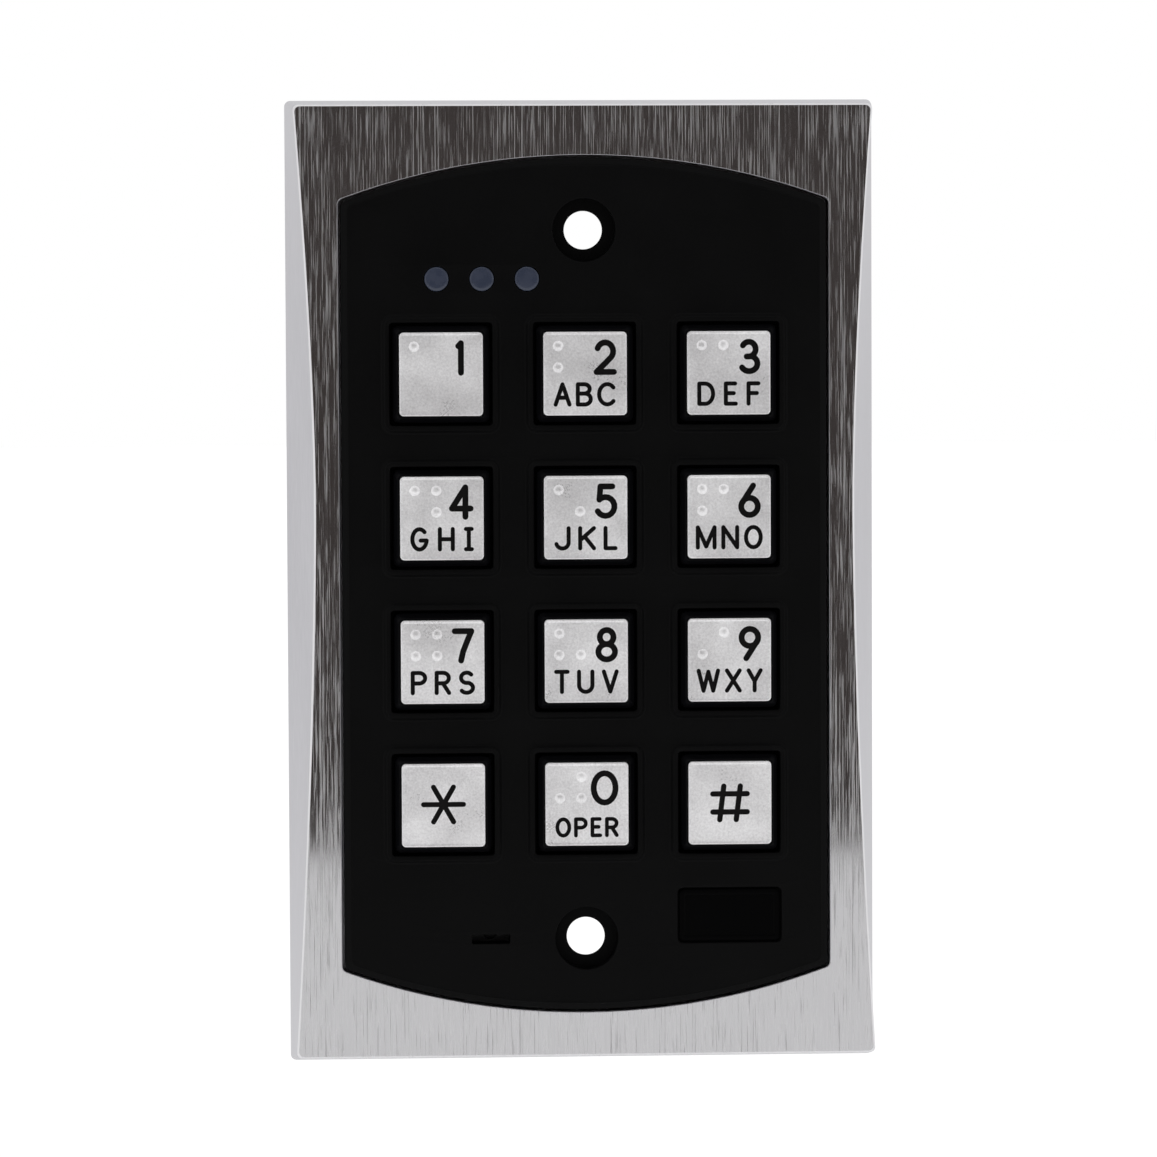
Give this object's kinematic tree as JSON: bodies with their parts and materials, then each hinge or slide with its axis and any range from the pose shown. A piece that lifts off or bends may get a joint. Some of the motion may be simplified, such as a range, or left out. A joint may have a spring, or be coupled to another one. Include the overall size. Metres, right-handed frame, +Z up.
{
  "type": "keypad access reader",
  "caption": "Wall-mounted access keypad for a single-gang box, with a brushed metal bezel, black faceplate and spring-return metal push keys.",
  "frame": {"origin": "centre of the wall plane, level with the middle of the plate, where the bezel's rear edge meets the wall", "axes": "+Z up the plate, +X to the right as the keys are read, -Y out of the wall towards the user"},
  "size_m": [0.0698, 0.0368, 0.1142],
  "materials": {
    "brushed_bezel": "satin nickel, brushed up and down",
    "key_metal": "satin plated die casting",
    "face_plastic": "fine moulded texture, black",
    "key_plastic": "satin moulded black",
    "smoked_lens": "smoked light pipe",
    "silicone": "matt grey silicone rubber",
    "gasket": "closed-cell black rubber",
    "circuit_board": "solder resist over glass laminate",
    "galvanised_plate": "zinc plated sheet",
    "housing_plastic": "moulded black",
    "component_plastic": "moulded black",
    "terminal_plastic": "moulded green",
    "can_aluminium": "bare drawn can",
    "led_resin": "water-clear resin",
    "plated_steel": "zinc plated"
  },
  "bodies": {
    "root": {"bezel": "brushed_bezel", "wall_gasket": "gasket", "faceplate": "face_plastic", "face_seal": "gasket", "label_plate": "face_plastic", "keypad_mat": "silicone", "keypad_board": "circuit_board", "keypad_backplate": "galvanised_plate", "sounder": "component_plastic", "rear_housing": "housing_plastic", "main_board": "circuit_board", "relay": "component_plastic", "controller_chip": "component_plastic", "link_header": "component_plastic", "link_socket": "component_plastic", "capacitor": "can_aluminium", "terminal_block": "terminal_plastic", "indicator_lens_left": "smoked_lens", "indicator_led_left": "led_resin", "indicator_lens_middle": "smoked_lens", "indicator_led_middle": "led_resin", "indicator_lens_right": "smoked_lens", "indicator_led_right": "led_resin", "housing_screw_1": "plated_steel", "housing_screw_2": "plated_steel", "housing_screw_3": "plated_steel", "housing_screw_4": "plated_steel", "terminal_screw_1": "plated_steel", "terminal_screw_2": "plated_steel", "terminal_screw_3": "plated_steel", "terminal_screw_4": "plated_steel", "terminal_screw_5": "plated_steel", "terminal_screw_6": "plated_steel"},
    "key_1": {"key_1_body": "key_plastic", "key_1_cap": "key_metal"},
    "key_2": {"key_2_body": "key_plastic", "key_2_cap": "key_metal"},
    "key_3": {"key_3_body": "key_plastic", "key_3_cap": "key_metal"},
    "key_4": {"key_4_body": "key_plastic", "key_4_cap": "key_metal"},
    "key_5": {"key_5_body": "key_plastic", "key_5_cap": "key_metal"},
    "key_6": {"key_6_body": "key_plastic", "key_6_cap": "key_metal"},
    "key_7": {"key_7_body": "key_plastic", "key_7_cap": "key_metal"},
    "key_8": {"key_8_body": "key_plastic", "key_8_cap": "key_metal"},
    "key_9": {"key_9_body": "key_plastic", "key_9_cap": "key_metal"},
    "key_star": {"key_star_body": "key_plastic", "key_star_cap": "key_metal"},
    "key_0": {"key_0_body": "key_plastic", "key_0_cap": "key_metal"},
    "key_hash": {"key_hash_body": "key_plastic", "key_hash_cap": "key_metal"}
  },
  "joints": [
    {"name": "key_1_press", "type": "slide", "parent": "root", "child": "key_1", "axis": [0, 1, 0], "range_m": [0, 0.0012], "stiffness_N_per_m": 450, "springref_m": -0.001, "deforming": ["keypad_mat"]},
    {"name": "key_2_press", "type": "slide", "parent": "root", "child": "key_2", "axis": [0, 1, 0], "range_m": [0, 0.0012], "stiffness_N_per_m": 450, "springref_m": -0.001, "deforming": ["keypad_mat"]},
    {"name": "key_3_press", "type": "slide", "parent": "root", "child": "key_3", "axis": [0, 1, 0], "range_m": [0, 0.0012], "stiffness_N_per_m": 450, "springref_m": -0.001, "deforming": ["keypad_mat"]},
    {"name": "key_4_press", "type": "slide", "parent": "root", "child": "key_4", "axis": [0, 1, 0], "range_m": [0, 0.0012], "stiffness_N_per_m": 450, "springref_m": -0.001, "deforming": ["keypad_mat"]},
    {"name": "key_5_press", "type": "slide", "parent": "root", "child": "key_5", "axis": [0, 1, 0], "range_m": [0, 0.0012], "stiffness_N_per_m": 450, "springref_m": -0.001, "deforming": ["keypad_mat"]},
    {"name": "key_6_press", "type": "slide", "parent": "root", "child": "key_6", "axis": [0, 1, 0], "range_m": [0, 0.0012], "stiffness_N_per_m": 450, "springref_m": -0.001, "deforming": ["keypad_mat"]},
    {"name": "key_7_press", "type": "slide", "parent": "root", "child": "key_7", "axis": [0, 1, 0], "range_m": [0, 0.0012], "stiffness_N_per_m": 450, "springref_m": -0.001, "deforming": ["keypad_mat"]},
    {"name": "key_8_press", "type": "slide", "parent": "root", "child": "key_8", "axis": [0, 1, 0], "range_m": [0, 0.0012], "stiffness_N_per_m": 450, "springref_m": -0.001, "deforming": ["keypad_mat"]},
    {"name": "key_9_press", "type": "slide", "parent": "root", "child": "key_9", "axis": [0, 1, 0], "range_m": [0, 0.0012], "stiffness_N_per_m": 450, "springref_m": -0.001, "deforming": ["keypad_mat"]},
    {"name": "key_star_press", "type": "slide", "parent": "root", "child": "key_star", "axis": [0, 1, 0], "range_m": [0, 0.0012], "stiffness_N_per_m": 450, "springref_m": -0.001, "deforming": ["keypad_mat"]},
    {"name": "key_0_press", "type": "slide", "parent": "root", "child": "key_0", "axis": [0, 1, 0], "range_m": [0, 0.0012], "stiffness_N_per_m": 450, "springref_m": -0.001, "deforming": ["keypad_mat"]},
    {"name": "key_hash_press", "type": "slide", "parent": "root", "child": "key_hash", "axis": [0, 1, 0], "range_m": [0, 0.0012], "stiffness_N_per_m": 450, "springref_m": -0.001, "deforming": ["keypad_mat"]}
  ]
}
